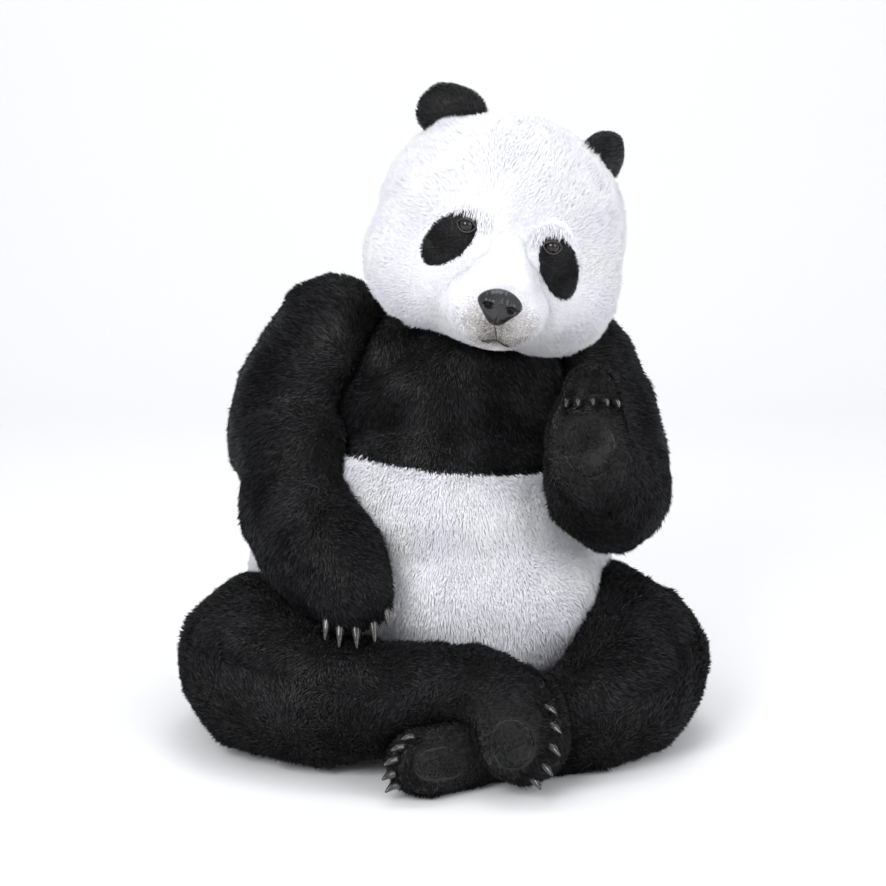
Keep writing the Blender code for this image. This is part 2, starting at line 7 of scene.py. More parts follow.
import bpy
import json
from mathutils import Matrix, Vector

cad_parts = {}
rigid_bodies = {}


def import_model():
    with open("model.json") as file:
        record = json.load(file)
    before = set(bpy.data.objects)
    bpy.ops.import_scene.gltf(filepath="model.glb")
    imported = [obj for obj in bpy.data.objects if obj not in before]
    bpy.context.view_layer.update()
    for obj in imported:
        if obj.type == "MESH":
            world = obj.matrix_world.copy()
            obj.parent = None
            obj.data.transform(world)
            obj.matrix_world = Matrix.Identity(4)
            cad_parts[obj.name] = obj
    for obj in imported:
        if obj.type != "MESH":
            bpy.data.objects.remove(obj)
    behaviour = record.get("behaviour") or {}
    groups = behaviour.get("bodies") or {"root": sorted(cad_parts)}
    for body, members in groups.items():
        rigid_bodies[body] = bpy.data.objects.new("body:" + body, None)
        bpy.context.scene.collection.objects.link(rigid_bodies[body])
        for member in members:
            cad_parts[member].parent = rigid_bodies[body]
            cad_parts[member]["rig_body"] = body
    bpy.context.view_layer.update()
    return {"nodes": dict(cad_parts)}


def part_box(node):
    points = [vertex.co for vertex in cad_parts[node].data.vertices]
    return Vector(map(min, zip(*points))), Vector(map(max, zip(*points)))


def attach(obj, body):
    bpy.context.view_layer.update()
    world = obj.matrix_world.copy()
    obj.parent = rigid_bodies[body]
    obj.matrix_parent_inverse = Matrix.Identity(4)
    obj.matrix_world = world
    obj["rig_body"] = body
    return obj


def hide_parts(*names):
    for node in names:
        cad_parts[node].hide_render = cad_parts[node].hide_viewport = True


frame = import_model()

import copy
import json
import math

import bpy
import numpy as np
from mathutils import Matrix, Vector
from mathutils.bvhtree import BVHTree
from mathutils.kdtree import KDTree

NODES = frame["nodes"]
RNG = np.random.default_rng(7)

# The head's own frame, as the CAD has it: X to the panda's left, -Y forward, Z up.
HEAD = (
    Matrix.Translation((0.078, -0.070, 0.705))
    @ Matrix.Rotation(math.radians(2.5), 4, "Z")
    @ Matrix.Rotation(math.radians(14.5), 4, "Y")
    @ Matrix.Rotation(math.radians(8.0), 4, "X")
)
SIDES = ("right", "left")
FLOOR_CLEAR = 0.0006        # nothing reaches lower than this
SKIN_VOXEL = 0.0065         # cell of the mesh that a skin is drawn with
STUFFING_GROWTH = 0.0050    # brings the stuffing out into its cover, so that the two make one solid
DENSITY = 275_000      # hairs to the square metre of long pile
HAIR_WIDTH = 0.00078 * 1.0
LONG, MIDDLE, SHORT, VELVET = 0.0150, 0.0095, 0.0045, 0.0042   # pile lengths
FINE_HAIR, VELVET_HAIR = 0.0009, 0.0008        # widths of the short hairs
MOST_HAIRS = 32_000         # in one piece
HIDDEN_DEPTH = 0.014        # a root this deep in another skin grows no hair
FLOW_SMOOTHING = 25         # passes that even out the way the pile lies
ROOT_DEPTH = 0.0012         # how far below the skin a hair starts
SAT_ON = -0.93              # skin that faces down more than this presses on the floor

# How near to these the roots of the pile come.
PATCH_CLEAR, PAD_CLEAR, NOSE_CLEAR, CLAW_CLEAR = 0.0034, 0.0030, 0.0012, 0.0012
EYE_CLEAR, PATCH_EYE_CLEAR = 0.0135, 0.0125
CLAW_TUFT = 0.012           # the pile is long this near to a claw
BROW_REACH = 0.034          # and this near to an eye, above it


# ---------------------------------------------------------------- numbers
def unit(vectors):
    size = np.linalg.norm(vectors, axis=-1, keepdims=True)
    return vectors / np.maximum(size, 1e-9)


def noise(points, scale, seed):
    """A smooth field between about -1 and 1 whose lumps are about scale across."""
    waves = np.random.default_rng(seed)
    total = np.zeros(len(points))
    for _ in range(9):
        way = waves.normal(size=3)
        way *= math.pi / scale / np.linalg.norm(way) * waves.uniform(0.6, 1.5)
        total += np.sin(points @ way + waves.uniform(0, 2 * math.pi))
    return total / 3.0


def noise_vectors(points, scale, seed):
    return np.stack([noise(points, scale, seed + k) for k in range(3)], axis=1)


def in_head(points):
    """Points of the row frame as the head's own frame has them."""
    away = np.array(HEAD.inverted())
    return points @ away[:3, :3].T + away[:3, 3]


def out_of_head(point):
    return np.array(HEAD @ Vector(point))


def tangential(vectors, normals):
    return unit(vectors - normals * (vectors * normals).sum(axis=1, keepdims=True))


# ---------------------------------------------------------------- meshes
def cad_mesh(node):
    """The points and triangles of a CAD node, with the points that lie on each other made one."""
    mesh = NODES[node].data
    mesh.calc_loop_triangles()
    points = np.empty(len(mesh.vertices) * 3, np.float32)
    mesh.vertices.foreach_get("co", points)
    faces = np.empty(len(mesh.loop_triangles) * 3, np.int32)
    mesh.loop_triangles.foreach_get("vertices", faces)
    points = points.reshape(-1, 3).astype(float)
    _, first, index = np.unique(np.round(points, 5), axis=0, return_index=True, return_inverse=True)
    faces = index.reshape(-1)[faces.reshape(-1, 3)]
    real = (faces != np.roll(faces, 1, axis=1)).all(axis=1)
    return points[first], faces[real]


def joined(nodes, grown=()):
    """The meshes of CAD nodes as one, with some of them grown into their neighbours."""
    points, triangles, offset = [], [], 0
    for node in (*nodes, *grown):
        at, faces = cad_mesh(node)
        if node in grown:
            at = at + normals_of(at, faces) * STUFFING_GROWTH
        points.append(at)
        triangles.append(faces + offset)
        offset += len(at)
    return np.concatenate(points), np.concatenate(triangles)


def normals_of(points, faces):
    """The normal at each point, weighted by the area of the faces round it."""
    corners = points[faces[:, :3]]
    across = np.cross(corners[:, 1] - corners[:, 0], corners[:, 2] - corners[:, 0])
    total = np.zeros_like(points)
    for k in range(faces.shape[1]):
        np.add.at(total, faces[:, k], across)
    return unit(total)


def mesh_of(name, points, faces):
    """A smooth-shaded mesh of faces that all have as many corners."""
    mesh = bpy.data.meshes.new(name)
    sides = faces.shape[1]
    mesh.vertices.add(len(points))
    mesh.vertices.foreach_set("co", np.ascontiguousarray(points, np.float32).ravel())
    mesh.loops.add(faces.size)
    mesh.loops.foreach_set("vertex_index", np.ascontiguousarray(faces, np.int32).ravel())
    mesh.polygons.add(len(faces))
    mesh.polygons.foreach_set("loop_start", np.arange(0, faces.size, sides, dtype=np.int32))
    mesh.update(calc_edges=True)
    mesh.shade_smooth()
    return mesh


def shown(name, mesh, body, slot, *materials):
    """The object of that mesh, riding on a body and taking the materials given; slot is not used."""
    obj = bpy.data.objects.new(name, mesh)
    bpy.context.scene.collection.objects.link(obj)
    for material in materials:
        mesh.materials.append(material)
    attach(obj, body)
    return obj


def evaluated(obj):
    """The points and faces of an object with its modifiers, for faces that all have as many corners."""
    mesh = bpy.data.meshes.new_from_object(obj.evaluated_get(bpy.context.evaluated_depsgraph_get()))
    points = np.empty(len(mesh.vertices) * 3, np.float32)
    mesh.vertices.foreach_get("co", points)
    faces = np.empty(len(mesh.loops), np.int32)
    mesh.loops.foreach_get("vertex_index", faces)
    sides = len(mesh.loops) // len(mesh.polygons)
    bpy.data.meshes.remove(mesh)
    return points.reshape(-1, 3).astype(float), faces.reshape(-1, sides)


def remeshed(points, triangles, voxel):
    guide = bpy.data.objects.new("guide", mesh_of("guide", points, triangles))
    bpy.context.scene.collection.objects.link(guide)
    modifier = guide.modifiers.new("Remesh", "REMESH")
    modifier.mode = "VOXEL"
    modifier.voxel_size = voxel
    result = evaluated(guide)
    bpy.data.meshes.remove(guide.data)
    return result


def edges_of(faces):
    sides = faces.shape[1]
    ends = np.concatenate([faces[:, [k, (k + 1) % sides]] for k in range(sides)])
    return np.unique(np.sort(ends, axis=1), axis=0)


def islands(count, edges):
    """The lowest point that each point is joined to."""
    label = np.arange(count)
    while True:
        low = label.copy()
        np.minimum.at(low, edges[:, 0], label[edges[:, 1]])
        np.minimum.at(low, edges[:, 1], label[edges[:, 0]])
        low = low[low]
        if np.array_equal(low, label):
            return label
        label = low


def outer_island(points, faces):
    label = islands(len(points), edges_of(faces))
    kept = label == np.bincount(label).argmax()
    index = np.cumsum(kept) - 1
    return points[kept], index[faces[kept[faces[:, 0]]]]


def averaged(values, edges, share):
    """Each point's value moved towards the mean of its neighbours'."""
    total, count = np.zeros_like(values), np.zeros(len(values))
    for a, b in ((0, 1), (1, 0)):
        np.add.at(total, edges[:, a], values[edges[:, b]])
        np.add.at(count, edges[:, a], 1.0)
    mean = total / np.maximum(count, 1.0)[:, None]
    return values + (mean - values) * share


class Skin:
    """A closed skin drawn round CAD nodes, in quads, with what the pile needs to grow on it."""

    def __init__(self, nodes, grown=(), smooth=10, fullness=0.0, lumps=0.0, voxel=SKIN_VOXEL, seed=1):
        at, faces = outer_island(*remeshed(*joined(nodes, grown), voxel))
        self.faces, self.edges = faces, edges_of(faces)
        for _ in range(smooth):
            at = averaged(at, self.edges, 0.5)
        out = normals_of(at, faces)
        at = at + out * (fullness + lumps * noise(at, 0.075, seed))[:, None]
        self.set_points(at)

    def set_points(self, points):
        points[:, 2] = np.maximum(points[:, 2], FLOOR_CLEAR)
        self.points = points
        self.normals = normals_of(points, self.faces)
        self.tree = BVHTree.FromPolygons(points.tolist(), self.faces.tolist())

    def triangles(self):
        return np.concatenate([self.faces[:, [0, 1, 2]], self.faces[:, [0, 2, 3]]])

    def flow_from(self, start):
        """The way along the skin that leads away from a point."""
        first = np.linalg.norm(self.points - np.array(start), axis=1).argmin()
        ends = self.points[self.edges]
        length = np.linalg.norm(ends[:, 1] - ends[:, 0], axis=1)
        far = np.full(len(self.points), 1e3)
        far[first] = 0.0
        while True:
            reach = far.copy()
            np.minimum.at(reach, self.edges[:, 0], far[self.edges[:, 1]] + length)
            np.minimum.at(reach, self.edges[:, 1], far[self.edges[:, 0]] + length)
            if np.array_equal(reach, far):
                break
            far = reach
        step = (far[self.edges[:, 1]] - far[self.edges[:, 0]])[:, None]
        way = unit(ends[:, 1] - ends[:, 0]) * step
        flow = np.zeros_like(self.points)
        np.add.at(flow, self.edges[:, 0], way)
        np.add.at(flow, self.edges[:, 1], way)
        for _ in range(FLOW_SMOOTHING):
            flow = averaged(flow, self.edges, 0.6)
        return tangential(flow, self.normals)

    def depth_in(self, other):
        """How deep each point lies in another skin, below nought outside it."""
        low, high = other.points.min(axis=0) - 0.002, other.points.max(axis=0) + 0.002
        near = ((self.points > low) & (self.points < high)).all(axis=1)
        depth = np.full(len(self.points), -1.0)
        for k in np.flatnonzero(near):
            at = Vector(self.points[k])
            place, normal, _, distance = other.tree.find_nearest(at)
            depth[k] = distance if (at - place).dot(normal) < 0 else -distance
        return depth


# ---------------------------------------------------------------- pile
def fur_tone(name, colour, roughness, sheen, gloss=0.35, sheen_colour=(1, 1, 1)):
    material = bpy.data.materials.new(name)
    material.use_nodes = True
    shader = material.node_tree.nodes["Principled BSDF"]
    shader.inputs["Base Color"].default_value = (*colour, 1)
    shader.inputs["Roughness"].default_value = roughness
    shader.inputs["Specular IOR Level"].default_value = gloss
    shader.inputs["Sheen Weight"].default_value = sheen
    shader.inputs["Sheen Roughness"].default_value = 0.45
    shader.inputs["Sheen Tint"].default_value = (*sheen_colour, 1)
    return material


WHITE_TONES = [
    fur_tone(f"white_pile_{k + 1}", colour, 0.8, 0.25)
    for k, colour in enumerate([
        (0.87, 0.87, 0.94), (0.92, 0.92, 0.96), (0.95, 0.95, 0.97), (0.97, 0.97, 0.97),
    ])
]
BLACK_TONES = [
    fur_tone(f"black_pile_{k + 1}", colour, 0.42, sheen, gloss, (0.75, 0.78, 0.85))
    for k, (colour, sheen, gloss) in enumerate([
        ((0.0018, 0.0018, 0.0022), 0.01, 0.10), ((0.0030, 0.0030, 0.0035), 0.02, 0.14),
        ((0.0050, 0.0050, 0.0058), 0.03, 0.20), ((0.0130, 0.0130, 0.0145), 0.05, 0.30),
    ])
]
BROWN_TONES = [
    fur_tone(f"airbrushed_pile_{k + 1}", colour, 0.8, 0.1)
    for k, colour in enumerate([(0.52, 0.495, 0.48), (0.26, 0.24, 0.23), (0.085, 0.076, 0.071)])
]


class Pile:
    """Hairs on a skin: where their roots are, and the length, lean and tone of each."""

    def __init__(self, skin, flow, density=1.0, keep=None):
        triangles = skin.triangles()
        corners = skin.points[triangles]
        area = np.linalg.norm(
            np.cross(corners[:, 1] - corners[:, 0], corners[:, 2] - corners[:, 0]), axis=1
        ) / 2
        count = np.floor(area * DENSITY * density + RNG.random(len(area))).astype(int)
        picked = np.repeat(np.arange(len(triangles)), count)
        u, v = RNG.random(len(picked)), RNG.random(len(picked))
        over = u + v > 1
        u[over], v[over] = 1 - u[over], 1 - v[over]
        self.weights = np.stack([1 - u - v, u, v], axis=1)
        self.corners = triangles[picked]
        self.root = self.at(skin.points)
        self.normal = unit(self.at(skin.normals))
        self.flow = tangential(self.at(flow) + self.normal * 1e-6, self.normal)
        self.length = np.ones(len(self.root))
        self.lean = np.full(len(self.root), 0.85)
        self.tone = np.zeros(len(self.root))
        if keep is not None:
            self.only(self.at(keep[:, None])[:, 0] > 0.5)

    def at(self, values):
        return (values[self.corners] * self.weights[:, :, None]).sum(axis=1)

    def only(self, kept):
        for name in ("weights", "corners", "root", "normal", "flow", "length", "lean", "tone"):
            setattr(self, name, getattr(self, name)[kept])

    def part(self, kept):
        """A copy that has only these hairs."""
        copied = copy.copy(self)
        copied.only(kept)
        return copied

    def away_from(self, *nodes):
        """How far each root is from the nearest of these CAD nodes."""
        points, faces = joined(nodes)
        tree = BVHTree.FromPolygons(points.tolist(), faces.tolist())
        return np.array([tree.find_nearest(root)[3] for root in self.root.tolist()])

    def toned(self, count, scale, spread, seed, patches=0.33):
        """A tone from 0 to count - 1, in soft patches with stray hairs."""
        value = 0.5 + patches * noise(self.root, scale, seed) + spread * (RNG.random(len(self.root)) - 0.5)
        self.tone = np.clip(np.floor(value * count), 0, count - 1).astype(int)


def hair_meshes(pile, clump=0.30, ruffle=0.25, width=HAIR_WIDTH, softness=1.3):
    """Points, triangles and normals of the hairs: each a spindle bent at its middle, closed."""
    clump_every, bend = 14, 0.35
    count = len(pile.root)
    flow = tangential(pile.flow + ruffle * noise_vectors(pile.root, 0.045, 31) * 0.7, pile.normal)
    lean = (pile.lean + 0.22 * noise(pile.root, 0.030, 51) + 0.18 * RNG.normal(size=count))[:, None]
    way = unit(pile.normal * np.cos(lean) + flow * np.sin(lean) + 0.16 * RNG.normal(size=(count, 3)))
    length = pile.length * (1 + 0.16 * noise(pile.root, 0.022, 71)) * RNG.uniform(0.78, 1.12, count)
    length = length[:, None]
    later = unit(way + flow * bend + 0.10 * RNG.normal(size=(count, 3)) - np.array([0, 0, 0.12]))
    foot = pile.root - pile.normal * ROOT_DEPTH
    middle = foot + way * length * 0.52
    tip = middle + later * length * 0.50
    if clump:
        centres = np.arange(0, count, clump_every)
        tree = KDTree(len(centres))
        for k, c in enumerate(centres):
            tree.insert(pile.root[c], k)
        tree.balance()
        near = centres[np.array([tree.find(p)[1] for p in pile.root.tolist()])]
        share = (clump * RNG.uniform(0.5, 1.3, count))[:, None]
        middle = middle + (middle[near] - middle) * share * 0.25
        tip = tip + (tip[near] - tip) * share * 0.75
    middle[:, 2] = np.maximum(middle[:, 2], FLOOR_CLEAR + 0.0008)
    tip[:, 2] = np.maximum(tip[:, 2], FLOOR_CLEAR)
    along = unit(tip - foot)
    side = unit(np.cross(along, RNG.normal(size=(count, 3))))
    other = np.cross(along, side)
    points, normals = np.empty((count, 5, 3)), np.empty((count, 5, 3))
    points[:, 0], points[:, 4] = foot, tip
    half = (width * RNG.uniform(0.7, 1.2, count) * np.clip(pile.length / LONG, 0.55, 1.0))[:, None]
    for k in range(3):
        turn = 2 * math.pi * k / 3
        out = side * math.cos(turn) + other * math.sin(turn)
        points[:, 1 + k] = middle + out * half
        normals[:, 1 + k] = pile.normal * softness + out * 0.40 + flow * 0.25
    normals[:, 0] = pile.normal
    normals[:, 4] = pile.normal * softness + flow * 0.35
    ring = np.array([1, 2, 3])
    after = np.roll(ring, -1)
    to_tip = [(a, b, 4) for a, b in zip(ring, after)]
    to_foot = [(b, a, 0) for a, b in zip(ring, after)]
    pattern = np.array(to_tip + to_foot)
    points[:, :, 2] = np.maximum(points[:, :, 2], FLOOR_CLEAR)
    return points, pattern, unit(normals)


def planted(name, body, slot, tones, pile, axis=2, **looks):
    """The pile as shown pieces of a bounded size, one after the other along an axis."""
    order = np.argsort(pile.root[:, axis], kind="stable")
    pile.only(order)
    points, pattern, normals = hair_meshes(pile, **looks)
    parts = max(1, math.ceil(len(points) / MOST_HAIRS))
    for k, part in enumerate(np.array_split(np.arange(len(points)), parts)):
        faces = (pattern[None] + 5 * np.arange(len(part))[:, None, None]).reshape(-1, 3)
        mesh = mesh_of(f"{name}_{k + 1}", points[part].reshape(-1, 3), faces)
        mesh.polygons.foreach_set("material_index", np.repeat(pile.tone[part], 6).astype(np.int32))
        custom = mesh.attributes.new("custom_normal", "FLOAT_VECTOR", "POINT")
        custom.data.foreach_set("vector", np.ascontiguousarray(normals[part], np.float32).ravel())
        shown(mesh.name, mesh, body, slot, *tones)


# ---------------------------------------------------------------- materials with a pattern
class Recipe:
    """A node material with a colour that varies and a bump."""

    def __init__(self, name, roughness, metallic=0.0, coat=0.0, sheen=0.0):
        self.material = bpy.data.materials.new(name)
        self.material.use_nodes = True
        self.tree = self.material.node_tree
        self.shader = self.tree.nodes["Principled BSDF"]
        self.shader.inputs["Roughness"].default_value = roughness
        self.shader.inputs["Metallic"].default_value = metallic
        self.shader.inputs["Coat Weight"].default_value = coat
        self.shader.inputs["Sheen Weight"].default_value = sheen
        self.place = self.tree.nodes.new("ShaderNodeTexCoord").outputs["Object"]

    def pattern(self, kind, scale, stretch=(1, 1, 1), **values):
        mapping = self.tree.nodes.new("ShaderNodeMapping")
        mapping.inputs["Scale"].default_value = stretch
        self.tree.links.new(self.place, mapping.inputs["Vector"])
        node = self.tree.nodes.new(f"ShaderNodeTex{kind}")
        node.inputs["Scale"].default_value = scale
        for key, value in values.items():
            node.inputs[key].default_value = value
        self.tree.links.new(mapping.outputs["Vector"], node.inputs["Vector"])
        return node.outputs[0] if kind != "Noise" else node.outputs["Fac"]

    def coloured(self, source, *stops):
        ramp = self.tree.nodes.new("ShaderNodeValToRGB")
        elements = ramp.color_ramp.elements
        while len(elements) < len(stops):
            elements.new(0.5)
        for element, (place, colour) in zip(elements, stops):
            element.position = place
            element.color = (*colour, 1)
        self.tree.links.new(source, ramp.inputs["Fac"])
        self.tree.links.new(ramp.outputs["Color"], self.shader.inputs["Base Color"])

    def bumped(self, source, strength, depth):
        bump = self.tree.nodes.new("ShaderNodeBump")
        bump.inputs["Strength"].default_value = strength
        bump.inputs["Distance"].default_value = depth
        self.tree.links.new(source, bump.inputs["Height"])
        self.tree.links.new(bump.outputs["Normal"], self.shader.inputs["Normal"])
        return self


def cloth(name, dark, light, weave=900.0):
    recipe = Recipe(name, 0.9, sheen=0.2)
    recipe.coloured(recipe.pattern("Noise", 45.0, Detail=6.0), (0.3, dark), (0.7, light))
    return recipe.bumped(recipe.pattern("Wave", weave, Distortion=1.5), 0.3, 0.0004).material


def leathery(name, dark, light, grain=420.0, roughness=0.36):
    recipe = Recipe(name, roughness, coat=0.15)
    recipe.coloured(recipe.pattern("Noise", 60.0, (1, 1, 0.25), Detail=5.0), (0.35, dark), (0.68, light))
    return recipe.bumped(recipe.pattern("Voronoi", grain), 0.28, 0.0006).material


def claw_horn():
    recipe = Recipe("claw_horn", 0.22, coat=0.5)
    recipe.coloured(
        recipe.pattern("Noise", 130.0, Detail=4.0),
        (0.30, (0.006, 0.005, 0.005)), (0.55, (0.022, 0.019, 0.017)), (0.80, (0.070, 0.062, 0.055)),
    )
    return recipe.bumped(recipe.pattern("Wave", 260.0, Distortion=3.0), 0.12, 0.0003).material


def wood():
    recipe = Recipe("sanded_plywood", 0.6)
    recipe.coloured(
        recipe.pattern("Wave", 18.0, (1, 0.15, 1), Distortion=6.0, Detail=3.0),
        (0.2, (0.42, 0.27, 0.14)), (0.8, (0.66, 0.47, 0.28)),
    )
    return recipe.bumped(recipe.pattern("Noise", 300.0, (1, 0.1, 1)), 0.2, 0.0003).material


def coated_steel():
    recipe = Recipe("coated_steel", 0.38, metallic=0.55)
    grain = recipe.pattern("Noise", 90.0, Detail=8.0)
    recipe.coloured(grain, (0.35, (0.20, 0.21, 0.23)), (0.7, (0.34, 0.35, 0.37)))
    return recipe.bumped(recipe.pattern("Noise", 900.0), 0.12, 0.0002).material


def fibre_fill():
    recipe = Recipe("fibre_fill", 0.95, sheen=0.4)
    fibres = recipe.pattern("Noise", 70.0, Detail=10.0)
    recipe.coloured(fibres, (0.3, (0.66, 0.64, 0.60)), (0.7, (0.86, 0.84, 0.80)))
    return recipe.bumped(recipe.pattern("Noise", 160.0, Detail=10.0), 0.8, 0.004).material


WHITE_CLOTH = cloth("white_backing", (0.74, 0.74, 0.80), (0.86, 0.86, 0.90))
SHADED_CLOTHS = [
    cloth(
        f"shaded_backing_{k + 1}",
        (0.82 * tone, 0.795 * tone, 0.78 * tone), (tone, 0.97 * tone, 0.95 * tone),
    )
    for k, tone in enumerate([0.76, 0.64, 0.53, 0.43, 0.34])
]
BLACK_CLOTH = cloth("black_backing", (0.001, 0.001, 0.0012), (0.004, 0.004, 0.0045))
BASE_CLOTH = cloth("base_cloth", (0.05, 0.05, 0.055), (0.13, 0.13, 0.14))
PAD_CLOTH = cloth("pad_velvet", (0.001, 0.001, 0.0012), (0.004, 0.004, 0.0045), 1400.0)
NOSE_SKIN = leathery("nose_leather", (0.004, 0.004, 0.005), (0.020, 0.020, 0.023), roughness=0.30)
LID_SKIN = leathery("eyelid_leather", (0.010, 0.008, 0.008), (0.035, 0.028, 0.026), 700.0, 0.42)
MOUTH_THREAD = leathery("mouth_thread", (0.020, 0.014, 0.012), (0.055, 0.042, 0.038), 900.0, 0.7)
CLAW_HORN = claw_horn()
INNER = {"stuffing": fibre_fill(), "plywood": wood(), "steel": coated_steel()}


# ---------------------------------------------------------------- skins
def limb_skin(name, seed):
    return Skin([f"{name}_cover"], [f"{name}_stuffing"], smooth=8, fullness=0.0040, lumps=0.0022, seed=seed)


head = Skin(["head_cover"], ["head_stuffing"], smooth=8, fullness=0.0015, lumps=0.0012, seed=3)
torso = Skin(
    ["belly_panel", "back_panel", "chest_yoke", "seat_panel"], ["torso_stuffing"],
    smooth=8, fullness=0.0030, lumps=0.0025, seed=5,
)
limbs = {f"{kind}_{side}": limb_skin(f"{kind}_{side}", 20 + k)
         for k, (kind, side) in enumerate((kind, side) for kind in ("arm", "leg") for side in SIDES)}
muzzle = Skin(["muzzle"], smooth=5, fullness=0.0005, voxel=0.0045, seed=7)
ears = {side: Skin([f"ear_{side}"], smooth=3, voxel=0.0045, seed=9) for side in SIDES}
tail = Skin(["tail"], smooth=4, voxel=0.0055, seed=13)
BIG = {"head": head, "torso": torso, "tail": tail, **limbs}
BODY_OF = {"head": "head", "torso": "torso", "tail": "torso", "leg_right": "torso", "leg_left": "torso",
           "arm_right": "arm_right", "arm_left": "arm_left"}


def free_share(name):
    """1 where a skin's point can be seen, 0 where it lies deep in another skin."""
    skin, free = BIG[name], None
    for other, solid in BIG.items():
        if other != name:
            clear = skin.depth_in(solid) < HIDDEN_DEPTH
            free = clear if free is None else free & clear
    return free.astype(float)


def seam_height(points):
    """The chest seam, which drops a little towards the panda's left."""
    return 0.388 - 0.08 * points[:, 0]


# The chest seam pulls the stuffed torso in along its line.
SEAM_HALF, SEAM_PULL = 0.016, 0.0045
pull = np.clip(1 - np.abs(torso.points[:, 2] - seam_height(torso.points)) / SEAM_HALF, 0, 1) ** 2
torso.set_points(torso.points - torso.normals * (pull * SEAM_PULL)[:, None])


def panel(name, faces, slot, material):
    """A panel of the torso's skin, as a sewn sheet of backing cloth."""
    used, index = np.unique(faces, return_inverse=True)
    mesh = mesh_of(name, torso.points[used], index.reshape(-1, 4))
    obj = shown(name, mesh, "torso", slot, material)
    cloth_weight = obj.modifiers.new("Cloth", "SOLIDIFY")
    cloth_weight.thickness = 0.0018
    cloth_weight.offset = -1
    return obj


def torso_panels():
    middle = torso.points[torso.faces].mean(axis=1)
    names = ["belly_panel", "back_panel", "seat_panel"]
    trees = []
    for node in names:
        points, faces = cad_mesh(node)
        trees.append(BVHTree.FromPolygons(points.tolist(), faces.tolist()))
    nearest = np.array([np.argmin([tree.find_nearest(p)[3] for tree in trees]) for p in middle.tolist()])
    nearest[middle[:, 2] > seam_height(middle)] = 3
    white, base, black = ("white_fur", WHITE_CLOTH), ("base_cloth", BASE_CLOTH), ("black_fur", BLACK_CLOTH)
    looks = [white, white, base, black]
    for k, node in enumerate([*names, "chest_yoke"]):
        piece = panel(f"{node}_cloth", torso.faces[nearest == k], *looks[k])
        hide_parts(node)


def body_skin(name, skin, body, slot, material, *nodes, fill=0.75):
    piece = shown(f"{name}_skin", mesh_of(f"{name}_skin", skin.points, skin.faces), body, slot, material)
    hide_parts(*nodes)
    return piece


# ---------------------------------------------------------------- face
NOSE_AT = (0.0055, -0.2010, -0.0455)
NOSE_HALF = (0.0315, 0.0195, 0.0265)
MOUTH_X, MOUTH_Z, MOUTH_HALF = 0.0145, -0.0945, 0.0180
EYE_AT, EYE_R = (0.0585, -0.1375, 0.034), 0.0098
LID_HALF, LID_DROP, LID_TURN = (0.0128, 0.0086), 0.0052, 0.28
LID_R, MOUTH_R, LIP_R = 0.0013, 0.0012, 0.0008
FACE_MIDDLE = (0, -0.17, -0.04)
FACE_SHORT, FACE_FADE = 0.080, 0.10     # short pile this far round it, which then grows long over so much


def eye_centre(side):
    return out_of_head((EYE_AT[0] if side == "left" else -EYE_AT[0], *EYE_AT[1:]))


# ---------------------------------------------------------------- pile on each part
def head_pile():
    pile = Pile(head, head.flow_from(sum(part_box("nose"), Vector()) / 2), 1.25, free_share("head"))
    for side in SIDES:
        pile.only(pile.away_from(f"eye_patch_{side}") > PATCH_CLEAR)
    inside = []
    for at in map(Vector, pile.root.tolist()):
        place, normal, _, distance = muzzle.tree.find_nearest(at)
        inside.append((at - place).dot(normal) < 0 and distance > 0.002)
    pile.only(~np.array(inside))
    for side in SIDES:
        pile.only(np.linalg.norm(pile.root - eye_centre(side), axis=1) > EYE_CLEAR)
    own = in_head(pile.root)
    face = np.clip((np.linalg.norm(own - np.array(FACE_MIDDLE), axis=1) - FACE_SHORT) / FACE_FADE, 0, 1)
    pile.length = SHORT * 1.25 + (LONG * 0.86 - SHORT * 1.25) * face ** 0.8
    pile.lean = 0.72 + 0.12 * face
    fall = np.array(HEAD.to_3x3() @ Vector((0, -0.25, -1)))
    for side in SIDES:
        eye_at = in_head(eye_centre(side)[None])[0]
        brow = (np.linalg.norm(own - eye_at, axis=1) < BROW_REACH) & (own[:, 2] > eye_at[2] + 0.003)
        pile.length[brow] = LONG * 0.95
        pile.flow[brow] = tangential(np.tile(fall, (brow.sum(), 1)), pile.normal[brow])
        pile.lean[brow] = 0.95
    pile.toned(4, 0.040, 0.9, 12)
    planted("head_fur", "head", "white_fur", WHITE_TONES, pile)


def torso_pile():
    down = tangential(np.tile([0.0, 0.0, -1.0], (len(torso.points), 1)), torso.normals)
    keep = free_share("torso") * (torso.normals[:, 2] > SAT_ON)
    pile = Pile(torso, down, 1.0, keep)
    pile.length[:] = LONG * 0.95
    above = pile.root[:, 2] > seam_height(pile.root)
    chest, belly = pile.part(above), pile.part(~above)
    chest.toned(4, 0.040, 0.85, 14, 0.12)
    belly.toned(4, 0.050, 0.9, 15)
    planted("chest_fur", "torso", "black_fur", BLACK_TONES, chest, clump=0.40, softness=0.8)
    planted("belly_fur", "torso", "white_fur", WHITE_TONES, belly, axis=1)


def limb_pile(name, start):
    skin = limbs[name]
    pile = Pile(skin, skin.flow_from(start), 1.0, free_share(name))
    away = pile.away_from(f"{name}_{'palm' if name.startswith('arm') else 'sole'}_pad")
    pile.length = LONG * (0.55 + 0.47 * np.clip((away - 0.006) / 0.10, 0, 1))
    pile.only(away > PAD_CLEAR)
    claw = pile.away_from(*(node for node in NODES if node.startswith(f"claw_{name}_")))
    pile.length[claw < CLAW_TUFT] = LONG * 0.95
    pile.only(claw > CLAW_CLEAR)
    pile.toned(4, 0.045, 0.85, 17, 0.12)
    planted(f"{name}_fur", BODY_OF[name], "black_fur", BLACK_TONES, pile, axis=0, clump=0.42, softness=0.8)


